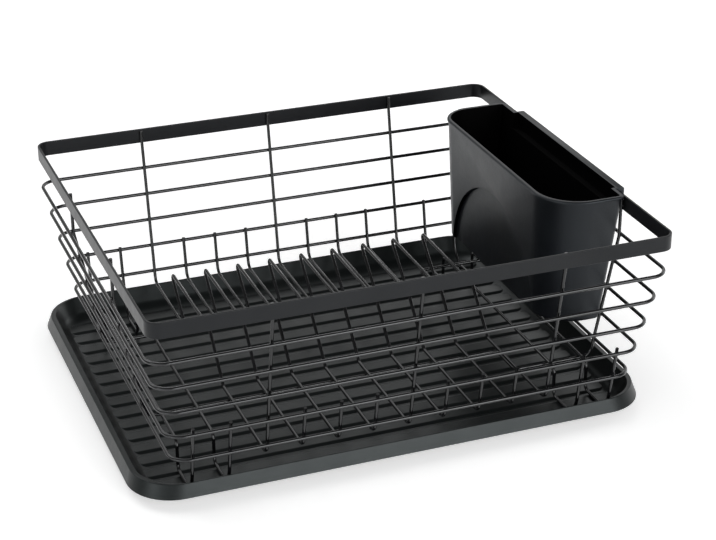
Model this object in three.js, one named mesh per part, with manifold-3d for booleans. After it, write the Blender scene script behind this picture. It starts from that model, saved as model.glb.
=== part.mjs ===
// Dish drainer: a wire basket for plates stands in a moulded drip tray, and a cutlery caddy hooks over its rim.
// Millimetres, +Z up. The origin is the middle of the tray's underside. +X runs along the long side, and the
// front is towards -Y. The wires are welded where they cross on the real object, and here they keep a small gap.

import * as THREE from 'three';
import { mergeVertices } from 'three/addons/utils/BufferGeometryUtils.js';
import Module from 'manifold-3d';

const wasm = await Module();
wasm.setup();

// Sizes of the basket's rim, which the basket, the tray and the caddy all follow
const rim_length = 420;
const rim_depth = 368;
const rim_strip_height = 12.7;
const rim_strip_thickness = 2;
const rim_corner_radius = 11;

// Sizes of the drip tray, which is a little longer than the rim and shallower from front to back
const tray_extra_length = 10.5;
const tray_less_depth = 23;
const tray_length = rim_length + tray_extra_length;
const tray_depth = rim_depth - tray_less_depth;
const tray_height = 20;
const tray_corner_radius = 40;
const tray_lip_width = 3.6;
const tray_skirt_height = 11;
const tray_edge_break = 0.6;
const tray_wall = 2;
const tray_slope_width = 13;
const tray_bend_reach = 5;
const tray_floor = 2;
const rib_pitch = 19.65;
const rib_width = 13.5;
const rib_height = 1.5;
const rib_edge_slope = 1.1;
const rib_end_margin = 5.2;

// Where the basket stands in the tray, loose and a little off its middle
const basket_x = 4;
const basket_y = -8;

// Sizes of the basket's wires
const weld_gap = 0.3;
const loop_diameter = 3;
const loop_count = 5;
const loop_pitch = 23.3;
const first_loop_drop = 35.4;
const last_loop_rise = 9.9;
const loop_corner_radius = 15;
const wire_diameter = 2.8;
const wire_count = 13;
const outer_wire_inset = 34.8;
const wire_pitch = (rim_length - 2 * outer_wire_inset) / (wire_count - 1);
const wire_bend_radius = 8;
const wire_end_above_loop = 3.6;
const wire_end_below_rim = 1;
const long_wall_lean = 0.181;
const short_wall_lean = 0.196;
const floor_height = 30.5;

// The rim's height follows from the floor and the loops between
const rim_top = floor_height + last_loop_rise + (loop_count - 1) * loop_pitch + first_loop_drop;

// Sizes of the plate dividers, which are humps bent into the floor wires
const divider_rise = 35.5;
const divider_back_top = 101.5;
const divider_back_foot = 61;
const divider_front_top = -13;
const divider_front_foot = -48;
const divider_bend_radius = 3;

// Sizes of the feet, which are dips bent into the outer floor wires
const foot_inner_place = 115;
const foot_inner_bend_radius = 6;
const foot_outer_bend_radius = 20;

// Sizes of the two cross wires, which carry the floor and step forward or back beside the caddy
const cross_wire_left_place = 66;
const cross_wire_right_place = 101;
const cross_wire_step_bend_radius = 5;

// Sizes of the cutlery caddy, whose long inner side is bowed at its two ends
const caddy_length = 228;
const caddy_width = 62.6;
const caddy_wall = 2;
const caddy_floor = 2.2;
const caddy_depth = 110;
const caddy_clearance = 0.35;
const caddy_place = 4.1;
const caddy_front_draft = 5;
const caddy_rear_draft = 10;
const caddy_inner_draft = 1.3;
const caddy_front_corner_radius = 36;
const caddy_rear_corner_radius = 25;
const caddy_square_corner_radius = 4;
const caddy_foot_radius = 3;
const bead_width = 1.1;
const bead_height = 2.2;
const arch_radius = 81.5;
const arch_drop = 34.5;
const arch_depth = 4.8;
const hook_length = 187;
const hook_crown = 3.2;
const hook_leg = 2.2;
const hook_drop = 9;
const hook_edge_break = 1;
const hook_clearance = 0.3;
const hook_seat_height = 16;
const drain_hole_diameter = 6;
const drain_hole_pitch = 26;
const drain_holes_in_row = 7;
const drain_row_spacing = 22;

// How finely round things are cut
const cut_overrun = 1;
const corner_steps = 8;
const bend_steps = 3;
const wire_sides = 8;
const hole_sides = 10;
const arch_sides = 48;

// The wires that rise to the rim, counted from the left, and the outer wires that carry the feet
const rim_wire_indices = [2, 6, 10];
const foot_wire_indices = [0, 1, 11, 12];

const finishes = {
  moulding: { color: 0x1c1d1f, roughness: 0.38, metalness: 0 },
  caddy: { color: 0x25272a, roughness: 0.42, metalness: 0 },
  strip: { color: 0x26282a, roughness: 0.45, metalness: 0.1 },
  wire: { color: 0x1d1e20, roughness: 0.4, metalness: 0.1 },
};

function named(name, geometry, finish) {
  geometry.computeVertexNormals();
  const mesh = new THREE.Mesh(geometry, new THREE.MeshStandardMaterial(finishes[finish]));
  mesh.name = name;
  return mesh;
}

// A closed geometry becomes a solid that can be joined and cut
function solid(geometry) {
  const bare = geometry.clone();
  bare.deleteAttribute('normal');
  bare.deleteAttribute('uv');
  const merged = mergeVertices(bare);
  return new wasm.Manifold(
    new wasm.Mesh({
      numProp: 3,
      vertProperties: new Float32Array(merged.attributes.position.array),
      triVerts: new Uint32Array(merged.index.array),
    }),
  );
}

function geometryOf(body) {
  const mesh = body.getMesh();
  const geometry = new THREE.BufferGeometry();
  geometry.setAttribute('position', new THREE.BufferAttribute(mesh.vertProperties, mesh.numProp));
  geometry.setIndex(new THREE.BufferAttribute(mesh.triVerts, 1));
  return geometry;
}

// The points of a rounded rectangle, anticlockwise, with a radius for each corner in the order
// right back, left back, left front, right front
function roundedOutline(left, right, front, back, radii) {
  const corners = [
    { x: right, y: back, signX: 1, signY: 1 },
    { x: left, y: back, signX: -1, signY: 1 },
    { x: left, y: front, signX: -1, signY: -1 },
    { x: right, y: front, signX: 1, signY: -1 },
  ];
  const points = [];
  corners.forEach((corner, k) => {
    const middleX = corner.x - corner.signX * radii[k];
    const middleY = corner.y - corner.signY * radii[k];
    for (let step = 0; step <= corner_steps; step++) {
      const angle = (Math.PI / 2) * (k + step / corner_steps);
      points.push([middleX + radii[k] * Math.cos(angle), middleY + radii[k] * Math.sin(angle)]);
    }
  });
  return points;
}

// A skin over rings of as many points each. With ends it is capped, and otherwise the last ring meets the first.
function skin(rings, hasEnds) {
  const count = rings[0].length;
  const positions = rings.flat(2);
  const indices = [];
  const bands = hasEnds ? rings.length - 1 : rings.length;
  for (let band = 0; band < bands; band++) {
    const low = band * count;
    const high = ((band + 1) % rings.length) * count;
    for (let k = 0; k < count; k++) {
      const next = (k + 1) % count;
      indices.push(low + k, low + next, high + next, low + k, high + next, high + k);
    }
  }
  if (hasEnds) {
    [0, rings.length - 1].forEach((end) => {
      const middle = positions.length / 3;
      const sum = rings[end].reduce((total, p) => [total[0] + p[0], total[1] + p[1], total[2] + p[2]]);
      positions.push(sum[0] / count, sum[1] / count, sum[2] / count);
      for (let k = 0; k < count; k++) {
        const a = end * count + k;
        const b = end * count + ((k + 1) % count);
        indices.push(...(end === 0 ? [middle, b, a] : [middle, a, b]));
      }
    });
  }
  const geometry = new THREE.BufferGeometry();
  geometry.setAttribute('position', new THREE.Float32BufferAttribute(positions, 3));
  geometry.setIndex(indices);
  return geometry;
}

// Rings that follow a rounded rectangle, each drawn in by its inset and set at its height
function insetRings(length, depth, radius, section) {
  return section.map(([inset, height]) => {
    const halfX = length / 2 - inset;
    const halfY = depth / 2 - inset;
    const outline = roundedOutline(-halfX, halfX, -halfY, halfY, Array(4).fill(radius - inset));
    return outline.map(([x, y]) => [x, y, height]);
  });
}

// The points of a soft corner between two straight lines, which starts and ends at its reach from the corner
function softCorner(before, at, after, reach) {
  const towards = (other) => {
    const share = reach / Math.hypot(other[0] - at[0], other[1] - at[1]);
    return [at[0] + (other[0] - at[0]) * share, at[1] + (other[1] - at[1]) * share];
  };
  const start = towards(before);
  const end = towards(after);
  return Array.from({ length: bend_steps + 1 }, (_, step) => {
    const t = step / bend_steps;
    return [0, 1].map((k) => (1 - t) ** 2 * start[k] + 2 * t * (1 - t) * at[k] + t ** 2 * end[k]);
  });
}

// A wire's route: straight runs with a round bend at each inner corner. Even steps of the curve land on the
// ends of the straights and on the points of the bends.
class BentRoute extends THREE.Curve {
  constructor(corners) {
    super();
    this.stations = [];
    corners.forEach((corner, k) => {
      const before = corners[k - 1];
      const after = corners[k + 1];
      if (!before || !after) {
        const direction = before ? corner.at.clone().sub(before.at) : after.at.clone().sub(corner.at);
        this.stations.push({ point: corner.at, tangent: direction.normalize() });
        return;
      }
      const arriving = corner.at.clone().sub(before.at).normalize();
      const leaving = after.at.clone().sub(corner.at).normalize();
      const turn = arriving.angleTo(leaving);
      const reach = corner.bend * Math.tan(turn / 2);
      const start = corner.at.clone().addScaledVector(arriving, -reach);
      const inward = leaving.clone().addScaledVector(arriving, -arriving.dot(leaving)).normalize();
      for (let step = 0; step <= bend_steps; step++) {
        const angle = (turn * step) / bend_steps;
        const point = start
          .clone()
          .addScaledVector(arriving, corner.bend * Math.sin(angle))
          .addScaledVector(inward, corner.bend * (1 - Math.cos(angle)));
        const tangent = arriving.clone().multiplyScalar(Math.cos(angle)).addScaledVector(inward, Math.sin(angle));
        this.stations.push({ point, tangent });
      }
    });
  }

  getPointAt(share, target = new THREE.Vector3()) {
    const place = share * (this.stations.length - 1);
    const low = Math.min(Math.floor(place), this.stations.length - 2);
    return target.lerpVectors(this.stations[low].point, this.stations[low + 1].point, place - low);
  }

  getTangentAt(share, target = new THREE.Vector3()) {
    return target.copy(this.stations[Math.round(share * (this.stations.length - 1))].tangent);
  }
}

function corner(x, y, z, bend = 0) {
  return { at: new THREE.Vector3(x, y, z), bend };
}

function circlePoints(radius, sides) {
  return Array.from({ length: sides }, (_, k) => {
    const angle = (2 * Math.PI * (k + 0.5)) / sides;
    return new THREE.Vector2(radius * Math.cos(angle), radius * Math.sin(angle));
  });
}

function bentWire(name, corners) {
  const route = new BentRoute(corners);
  const geometry = new THREE.ExtrudeGeometry(new THREE.Shape(circlePoints(wire_diameter / 2, wire_sides)), {
    steps: route.stations.length - 1,
    extrudePath: route,
  });
  return named(name, geometry, 'wire');
}

// Heights and insets that the wires share
const rib_top = tray_floor + rib_height;
const foot_height = rib_top + weld_gap + wire_diameter / 2;
const cross_wire_height = floor_height - wire_diameter - weld_gap;
const rim_bottom = rim_top - rim_strip_height;
const upright_inset = rim_strip_thickness + weld_gap + wire_diameter / 2;
const wire_to_loop = (wire_diameter + loop_diameter) / 2 + weld_gap;
const wire_top = rim_top - wire_end_below_rim;
const first_loop_height = rim_top - first_loop_drop;

function loopHeight(k) {
  return first_loop_height - k * loop_pitch;
}

// How far the uprights of a wall stand in from the outside of the rim at a height
function longWallInset(height) {
  return upright_inset + long_wall_lean * Math.max(0, rim_bottom - height);
}

function shortWallInset(height) {
  return upright_inset + short_wall_lean * Math.max(0, first_loop_height - height);
}

function longWallPlace(height) {
  return rim_depth / 2 - longWallInset(height);
}

function shortWallPlace(height) {
  return rim_length / 2 - shortWallInset(height);
}

// The tray is one moulding: a flat pan with sloping walls, a narrow lip, a skirt that hangs from the lip,
// and ribs along its floor. Each section point is an inset from the tray's outer edge and a height.
function dripTray() {
  const slope_top = [tray_lip_width, tray_height];
  const floor_inset = tray_lip_width + tray_slope_width;
  const slope_foot = [floor_inset, tray_floor];
  const slope = tray_slope_width / (tray_height - tray_floor);
  const wall_across = tray_wall * Math.hypot(1, slope);
  const outsideAt = (height) => tray_lip_width - wall_across + (tray_height - height) * slope;
  const lip_underside = tray_height - tray_wall;
  const skirt_end = tray_height - tray_skirt_height;
  const middle = tray_depth / 2;
  const section = [
    ...softCorner([middle, 0], [outsideAt(0), 0], [outsideAt(lip_underside), lip_underside], tray_bend_reach),
    [outsideAt(lip_underside), lip_underside],
    [tray_wall, lip_underside],
    [tray_wall, skirt_end],
    [0, skirt_end],
    [0, tray_height - tray_edge_break],
    [tray_edge_break, tray_height],
    slope_top,
    ...softCorner(slope_top, slope_foot, [middle, tray_floor], tray_bend_reach),
  ];
  let tray = solid(skin(insetRings(tray_length, tray_depth, tray_corner_radius, section), true));
  const rib_length = tray_length - 2 * (floor_inset + rib_end_margin);
  const ribs_each_side = Math.floor((tray_depth / 2 - floor_inset - rib_width / 2) / rib_pitch);
  for (let k = -ribs_each_side; k <= ribs_each_side; k++) {
    tray = tray.add(solid(floorRib(rib_length).translate(0, k * rib_pitch, 0)));
  }
  return named('drip_tray', geometryOf(tray), 'moulding');
}

// A rib has round ends and sloping sides, and its root lies in the tray's floor
function floorRib(length) {
  const rings = [
    [0, tray_floor / 2],
    [0, tray_floor],
    [rib_edge_slope, tray_floor + rib_height],
  ].map(([drawnIn, height]) => {
    const points = [];
    [1, -1].forEach((end) => {
      for (let step = 0; step <= corner_steps; step++) {
        const angle = Math.PI * (step / corner_steps - 1 / 2);
        const radius = rib_width / 2 - drawnIn;
        const middle = (length - rib_width) / 2;
        points.push([end * (middle + radius * Math.cos(angle)), end * radius * Math.sin(angle), height]);
      }
    });
    return points;
  });
  return skin(rings, true);
}

// The rim is a flat steel strip on edge, bent round and butt welded
function rimBand() {
  const section = [
    [0, rim_bottom],
    [0, rim_top],
    [rim_strip_thickness, rim_top],
    [rim_strip_thickness, rim_bottom],
  ];
  return named('rim_band', skin(insetRings(rim_length, rim_depth, rim_corner_radius, section), false), 'strip');
}

// A loop runs round the outside of the uprights. Each wall leans by its own amount, so a loop's length and
// depth are drawn in separately.
function loopWire(k) {
  const height = loopHeight(k);
  const longWallOffset = wire_to_loop / Math.cos(Math.atan(long_wall_lean));
  const shortWallOffset = wire_to_loop / Math.cos(Math.atan(short_wall_lean));
  const length = 2 * (shortWallPlace(height) + shortWallOffset);
  const depth = 2 * (longWallPlace(height) + longWallOffset);
  const section = circlePoints(loop_diameter / 2, wire_sides).map((point) => [-point.x, height + point.y]);
  return named(`loop_wire_${k + 1}`, skin(insetRings(length, depth, loop_corner_radius, section), false), 'wire');
}

// The way down a long wall, from the top of its upright. side is 1 at the back and -1 at the front.
function uprightCorners(x, side, reachesRim) {
  if (!reachesRim) {
    const height = loopHeight(loop_count - 2) + wire_end_above_loop;
    return [corner(x, side * longWallPlace(height), height)];
  }
  return [
    corner(x, side * longWallPlace(rim_top), wire_top),
    corner(x, side * longWallPlace(rim_bottom), rim_bottom, wire_bend_radius),
  ];
}

// A floor wire with a plate divider: down the back wall, along the floor, back up the leaning hump,
// over its top, down to the floor and up the front wall
function dividerWire(name, x, reachesRim) {
  const edge = longWallPlace(floor_height);
  const top = floor_height + divider_rise;
  return bentWire(name, [
    ...uprightCorners(x, 1, reachesRim),
    corner(x, edge, floor_height, wire_bend_radius),
    corner(x, divider_back_foot, floor_height, divider_bend_radius),
    corner(x, divider_back_top, top, divider_bend_radius),
    corner(x, divider_front_top, top, divider_bend_radius),
    corner(x, divider_front_foot, floor_height, divider_bend_radius),
    corner(x, -edge, floor_height, wire_bend_radius),
    ...uprightCorners(x, -1, reachesRim).reverse(),
  ]);
}

// An outer floor wire dips at both ends to the tray, as the basket's feet
function footWire(name, x, reachesRim) {
  const outer = longWallPlace(foot_height);
  return bentWire(name, [
    ...uprightCorners(x, 1, reachesRim),
    corner(x, outer, foot_height, foot_outer_bend_radius),
    corner(x, foot_inner_place, foot_height, foot_inner_bend_radius),
    corner(x, foot_inner_place, floor_height, foot_inner_bend_radius),
    corner(x, -foot_inner_place, floor_height, foot_inner_bend_radius),
    corner(x, -foot_inner_place, foot_height, foot_inner_bend_radius),
    corner(x, -outer, foot_height, foot_outer_bend_radius),
    ...uprightCorners(x, -1, reachesRim).reverse(),
  ]);
}

function longWires() {
  const wires = [];
  let dividers = 0;
  let feet = 0;
  for (let k = 0; k < wire_count; k++) {
    const x = (k - (wire_count - 1) / 2) * wire_pitch;
    const reachesRim = rim_wire_indices.includes(k);
    if (foot_wire_indices.includes(k)) {
      feet += 1;
      wires.push(footWire(`foot_wire_${feet}`, x, reachesRim));
    } else {
      dividers += 1;
      wires.push(dividerWire(`divider_wire_${dividers}`, x, reachesRim));
    }
  }
  return wires;
}

// A cross wire goes down one short wall, under the floor wires and up the other. Under the last divider it
// steps outwards, so that its right end passes beside the caddy. side is 1 at the back and -1 at the front.
function crossWire(name, side) {
  const edge = shortWallPlace(cross_wire_height);
  const upper = shortWallPlace(rim_top);
  const left = side * cross_wire_left_place;
  const right = side * cross_wire_right_place;
  const last_divider = wire_count - foot_wire_indices.length / 2 - 1;
  const step_x = (last_divider - (wire_count - 1) / 2) * wire_pitch;
  return bentWire(name, [
    corner(-upper, left, wire_top),
    corner(-upper, left, first_loop_height, wire_bend_radius),
    corner(-edge, left, cross_wire_height, wire_bend_radius),
    corner(step_x, left, cross_wire_height, cross_wire_step_bend_radius),
    corner(step_x, right, cross_wire_height, cross_wire_step_bend_radius),
    corner(edge, right, cross_wire_height, wire_bend_radius),
    corner(upper, right, first_loop_height, wire_bend_radius),
    corner(upper, right, wire_top),
  ]);
}

// The caddy hangs with its outer side against the uprights, which it leans with, and its inner side upright
const caddy_top = rim_top + hook_clearance + hook_crown;
const caddy_bottom = caddy_top - caddy_depth;
const upright_face = wire_diameter / 2 / Math.cos(Math.atan(short_wall_lean));
const caddy_outer_top = shortWallPlace(rim_top) - upright_face - caddy_clearance - bead_width;
const caddy_outer_bottom = shortWallPlace(caddy_bottom) - upright_face - caddy_clearance;
const caddy_inner_face = caddy_outer_top - caddy_width;

// A closed loft between two heights of the caddy. drawnIn is how far it lies inside the caddy's outer face, and
// its foot is rounded to a radius.
function caddyLoft(bottom, top, drawnIn, footRadius) {
  const foot = Array.from({ length: footRadius > 0 ? bend_steps : 0 }, (_, step) => {
    const angle = (Math.PI * step) / (2 * bend_steps);
    return [drawnIn + footRadius * (1 - Math.sin(angle)), bottom + footRadius * (1 - Math.cos(angle))];
  });
  const stations = [...foot, [drawnIn, bottom + footRadius], [drawnIn, top]];
  const rings = stations.map(([inset, height]) => {
    const sunk = (caddy_top - height) / caddy_depth;
    const right = caddy_outer_top + (caddy_outer_bottom - caddy_outer_top) * sunk - inset;
    const radii = [
      caddy_square_corner_radius,
      caddy_rear_corner_radius,
      caddy_front_corner_radius,
      caddy_square_corner_radius,
    ].map((radius) => radius - inset);
    const outline = roundedOutline(
      caddy_inner_face + caddy_inner_draft * sunk + inset,
      right,
      caddy_place - caddy_length / 2 + caddy_front_draft * sunk + inset,
      caddy_place + caddy_length / 2 - caddy_rear_draft * sunk - inset,
      radii,
    );
    return outline.map(([x, y]) => [x, y, height]);
  });
  return solid(skin(rings, true));
}

// A disc on edge, from outside the caddy's inner face to a depth behind it
function archDisc(radius, depth) {
  const disc = new THREE.CylinderGeometry(radius, radius, depth + cut_overrun, arch_sides);
  disc.rotateZ(Math.PI / 2);
  const middle_height = caddy_top - arch_drop - arch_radius;
  return solid(disc.translate(caddy_inner_face + (depth - cut_overrun) / 2, caddy_place, middle_height));
}

// A box between two places along X and two heights, as long as given along the middle of the hook
function hookBox(left, right, bottom, top, length) {
  const box = new THREE.BoxGeometry(right - left, length, top - bottom);
  return solid(box.translate((left + right) / 2, 0, (bottom + top) / 2));
}

function drainHoles() {
  const holes = [];
  const middle = (caddy_inner_face + caddy_outer_bottom) / 2;
  const depth = caddy_floor + 2 * cut_overrun;
  [-1, 1].forEach((row) => {
    for (let k = 0; k < drain_holes_in_row; k++) {
      const radius = drain_hole_diameter / 2;
      const hole = new THREE.CylinderGeometry(radius, radius, depth, hole_sides);
      hole.rotateX(Math.PI / 2);
      const y = caddy_place + (k - (drain_holes_in_row - 1) / 2) * drain_hole_pitch;
      hole.translate(middle + (row * drain_row_spacing) / 2, y, caddy_bottom + caddy_floor / 2);
      holes.push(solid(hole));
    }
  });
  return holes;
}

// The caddy is one moulding: a tapered cup with a bead round its top, a round-topped panel set back into its
// inner face, a seat that steps out to the rim strip between the uprights, and a hook over the strip
function cutleryCaddy() {
  const bead = caddyLoft(caddy_top - bead_height, caddy_top, -bead_width, 0);
  const cup = caddyLoft(caddy_bottom, caddy_top, 0, caddy_foot_radius);
  const outside = cup.add(bead).subtract(archDisc(arch_radius, arch_depth));
  const behind_arch = archDisc(arch_radius + caddy_wall, arch_depth + caddy_wall);
  const inside = caddyLoft(caddy_bottom + caddy_floor, caddy_top + cut_overrun, caddy_wall, 0);
  const seat_face = rim_length / 2 - rim_strip_thickness - hook_clearance;
  const seat_bottom = caddy_top - hook_seat_height;
  const seat = hookBox(caddy_outer_top - caddy_wall, seat_face, seat_bottom, caddy_top, hook_length);
  const seat_hollow = hookBox(
    caddy_outer_top - 2 * caddy_wall,
    seat_face - caddy_wall,
    seat_bottom + caddy_wall,
    caddy_top + cut_overrun,
    hook_length - 2 * caddy_wall,
  );
  let caddy = outside.subtract(inside.subtract(behind_arch)).add(seat).subtract(seat_hollow);
  caddy = caddy.add(hook(seat_face - caddy_wall));
  drainHoles().forEach((hole) => {
    caddy = caddy.subtract(hole);
  });
  return named('cutlery_caddy', geometryOf(caddy), 'caddy');
}

// The hook runs from the seat over the rim and down its outside
function hook(start) {
  const leg_inside = rim_length / 2 + hook_clearance;
  const leg_outside = leg_inside + hook_leg;
  const underside = caddy_top - hook_crown;
  const profile = new THREE.Shape([
    new THREE.Vector2(start, underside),
    new THREE.Vector2(leg_inside, underside),
    new THREE.Vector2(leg_inside, underside - hook_drop),
    new THREE.Vector2(leg_outside, underside - hook_drop),
    new THREE.Vector2(leg_outside, caddy_top - hook_edge_break),
    new THREE.Vector2(leg_outside - hook_edge_break, caddy_top),
    new THREE.Vector2(start, caddy_top),
  ]);
  const bar = new THREE.ExtrudeGeometry(profile, { depth: hook_length, bevelEnabled: false });
  bar.rotateX(Math.PI / 2);
  return solid(bar.translate(0, hook_length / 2, 0));
}

const basket = new THREE.Group();
basket.position.set(basket_x, basket_y, 0);
basket.add(rimBand());
for (let k = 0; k < loop_count; k++) {
  basket.add(loopWire(k));
}
basket.add(...longWires());
basket.add(crossWire('cross_wire_back', 1), crossWire('cross_wire_front', -1));
basket.add(cutleryCaddy());

const drainer = new THREE.Group();
drainer.add(dripTray(), basket);

export default drainer;
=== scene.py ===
# %% [markdown]
# A dish drainer
#
# The object is a wire basket for plates that stands in a moulded drip tray, with a cutlery caddy hooked
# over one end of its rim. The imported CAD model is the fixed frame. Every piece below is modelled again
# with rounder wires, softer edges and finer finishes, at the same place, and then stands for its CAD
# node.

# %% The frame
import math
import bmesh
import bpy
from mathutils import Euler, Matrix, Quaternion, Vector


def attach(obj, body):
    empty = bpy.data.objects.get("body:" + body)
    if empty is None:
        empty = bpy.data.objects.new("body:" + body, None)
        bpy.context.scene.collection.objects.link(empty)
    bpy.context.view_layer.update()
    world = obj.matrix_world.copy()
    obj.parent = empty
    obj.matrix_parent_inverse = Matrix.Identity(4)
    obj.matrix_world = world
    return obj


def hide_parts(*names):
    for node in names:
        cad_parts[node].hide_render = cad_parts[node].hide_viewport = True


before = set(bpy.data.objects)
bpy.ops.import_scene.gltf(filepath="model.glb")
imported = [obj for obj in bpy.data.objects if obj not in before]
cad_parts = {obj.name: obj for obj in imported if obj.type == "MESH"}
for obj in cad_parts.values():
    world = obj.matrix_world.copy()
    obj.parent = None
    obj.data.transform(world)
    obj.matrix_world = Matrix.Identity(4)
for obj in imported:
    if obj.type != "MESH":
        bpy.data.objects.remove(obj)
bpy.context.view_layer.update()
scene = bpy.context.scene
mm = 0.001

# %% [markdown]
# ## The camera
#
# The photograph looks down on the drainer from its left front corner. A long lens, some 93 mm on a 36 mm
# sensor, keeps the rim's far side nearly as long as its near side. The turn, tilt and slight roll were
# found by laying the rim's corners over the picture.

# %% The camera
camera_place = Vector((-0.4781, -1.3166, 0.7627))
camera_turn = math.radians(20.897)
camera_tilt = math.radians(25.647)
camera_roll = math.radians(0.125)
bpy.ops.object.camera_add(location=camera_place)
camera = bpy.context.object
aim = Euler((math.pi / 2 - camera_tilt, 0, -camera_turn)).to_matrix()
aim = aim @ Matrix.Rotation(-camera_roll, 3, "Z")
camera.rotation_euler = aim.to_euler()
camera.data.sensor_width = 36
camera.data.lens = 93.395
camera.data.clip_start = 0.05
camera.data.clip_end = 50
scene.camera = camera
scene.view_settings.view_transform = "Standard"
print("camera looks along", [round(v, 3) for v in -aim.col[2]])

# %% [markdown]
# ## Helpers for modelling
#
# An operator works on all that is selected, so each piece starts with nothing selected, and inside edit
# mode the faces, edges or vertices are picked by where they lie. These few helpers do that, so the steps
# of each piece stay short. Two lengths go with them: places closer than the first are merged, and a place
# that is within the second of a line or a level counts as on it.

# %% Helpers for modelling
touching, slack = 0.01 * mm, 0.1 * mm


def begin_editing():
    bpy.ops.object.mode_set(mode="EDIT")
    bpy.ops.mesh.select_mode(type="VERT")


def end_editing():
    bpy.ops.object.mode_set(mode="OBJECT")


def select_only(*pieces):
    bpy.ops.object.select_all(action="DESELECT")
    for piece in pieces:
        piece.select_set(True)
    bpy.context.view_layer.objects.active = pieces[0]


def middle_of(item):
    """The middle of an edge or a face."""
    if isinstance(item, bmesh.types.BMEdge):
        return (item.verts[0].co + item.verts[1].co) / 2
    return item.calc_center_median()


def pick(kind, passes):
    """In edit mode, selects only the vertices, edges or faces that pass a test."""
    bpy.ops.mesh.select_mode(type=kind)
    bpy.ops.mesh.select_all(action="DESELECT")
    mesh = bmesh.from_edit_mesh(bpy.context.object.data)
    items = {"VERT": mesh.verts, "EDGE": mesh.edges, "FACE": mesh.faces}[kind]
    picked = [item for item in items if passes(item)]
    for item in picked:
        item.select_set(True)
    mesh.select_flush_mode()
    bmesh.update_edit_mesh(bpy.context.object.data)
    return len(picked)


def add_sheet(name, left, right, front, back, height):
    """A flat rectangle, with its place in its mesh."""
    bpy.ops.object.select_all(action="DESELECT")
    bpy.ops.mesh.primitive_plane_add(size=1, location=((left + right) / 2, (front + back) / 2, height))
    piece = bpy.context.object
    piece.name = piece.data.name = name
    piece.scale = (right - left, back - front, 1)
    bpy.ops.object.transform_apply(location=True, rotation=True, scale=True)
    return piece


def add_block(name, low, high):
    """A block between two corners, with its place in its mesh. It is only ever a start."""
    bpy.ops.object.select_all(action="DESELECT")
    bpy.ops.mesh.primitive_cube_add(size=1, location=[(a + b) / 2 for a, b in zip(low, high)])
    piece = bpy.context.object
    piece.name = piece.data.name = name
    piece.scale = [b - a for a, b in zip(low, high)]
    bpy.ops.object.transform_apply(location=True, rotation=True, scale=True)
    return piece


def apply_modifier(piece, kind, **settings):
    """Adds a modifier with its settings and applies it at once."""
    select_only(piece)
    modifier = piece.modifiers.new(kind.title(), kind)
    for name, value in settings.items():
        setattr(modifier, name, value)
    bpy.ops.object.modifier_apply(modifier=modifier.name)


def copy_of(piece, name, shift):
    """A copy with its own mesh, moved to its place."""
    select_only(piece)
    bpy.ops.object.duplicate(linked=False)
    copy = bpy.context.object
    copy.name = copy.data.name = name
    copy.location = shift
    bpy.ops.object.transform_apply(location=True, rotation=False, scale=False)
    return copy


def smooth(piece, sharper_than=35):
    select_only(piece)
    bpy.ops.object.shade_smooth_by_angle(angle=math.radians(sharper_than))


def keep_flats_flat(piece):
    """Lets the large faces set the shading at their edges, so that only the bevels look round."""
    apply_modifier(piece, "WEIGHTED_NORMAL", keep_sharp=True)


def finish_piece(piece, body, slot, material, *nodes):
    """Gives a piece its finish, the body it rides on, and the CAD nodes that it stands for. The slot is
    not used.
    """
    piece.data.materials.clear()
    piece.data.materials.append(material)
    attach(piece, body)
    if nodes:
        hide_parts(*nodes)


print("helpers are ready")

# %% [markdown]
# ## The finishes
#
# Everything on the drainer is black, so its parts differ by how they shine. Baked powder coat on the
# wires has a fine orange-peel skin and a clear gloss. The moulded parts are polypropylene, with a satin
# surface off a spark-worn mould. One colour with one roughness would do for a drawing, but no real
# surface is that even. So each finish mixes two near tones with a slow noise, varies its roughness with a
# finer noise, and gets its grain from a bump. The scales count the noise's cells in a metre. All patterns
# read Object coordinates, so they stay on the piece.

# %% A helper for black finishes
def black_finish(name, tones, gloss, shine, tint, patch_scale, grain_scale, grain_depth, peel_scale,
                 peel_depth):
    """Blends two tones and two roughnesses by noise, and puts a fine grain on a slower peel."""
    material = bpy.data.materials.new(name)
    material.use_nodes = True
    nodes, links = material.node_tree.nodes, material.node_tree.links
    shader = nodes["Principled BSDF"]
    shader.inputs["Specular IOR Level"].default_value = shine
    shader.inputs["Specular Tint"].default_value = (*tint, 1)
    place = nodes.new("ShaderNodeTexCoord")

    def noise(scale, detail):
        texture = nodes.new("ShaderNodeTexNoise")
        texture.inputs["Scale"].default_value = scale
        texture.inputs["Detail"].default_value = detail
        links.new(place.outputs["Object"], texture.inputs["Vector"])
        return texture.outputs["Fac"]

    tone = nodes.new("ShaderNodeValToRGB")
    tone.color_ramp.elements[0].position = 0.35
    tone.color_ramp.elements[1].position = 0.65
    for element, colour in zip(tone.color_ramp.elements, tones):
        element.color = (*colour, 1)
    links.new(noise(patch_scale, 3), tone.inputs["Fac"])
    links.new(tone.outputs["Color"], shader.inputs["Base Color"])

    roughness = nodes.new("ShaderNodeMapRange")
    roughness.inputs["To Min"].default_value, roughness.inputs["To Max"].default_value = gloss
    links.new(noise(patch_scale * 6, 4), roughness.inputs["Value"])
    links.new(roughness.outputs["Result"], shader.inputs["Roughness"])

    peel = nodes.new("ShaderNodeBump")
    peel.inputs["Strength"].default_value = 1
    peel.inputs["Distance"].default_value = peel_depth
    links.new(noise(peel_scale, 1), peel.inputs["Height"])
    grain = nodes.new("ShaderNodeBump")
    grain.inputs["Strength"].default_value = 1
    grain.inputs["Distance"].default_value = grain_depth
    links.new(noise(grain_scale, 2), grain.inputs["Height"])
    links.new(peel.outputs["Normal"], grain.inputs["Normal"])
    links.new(grain.outputs["Normal"], shader.inputs["Normal"])
    return material


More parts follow.
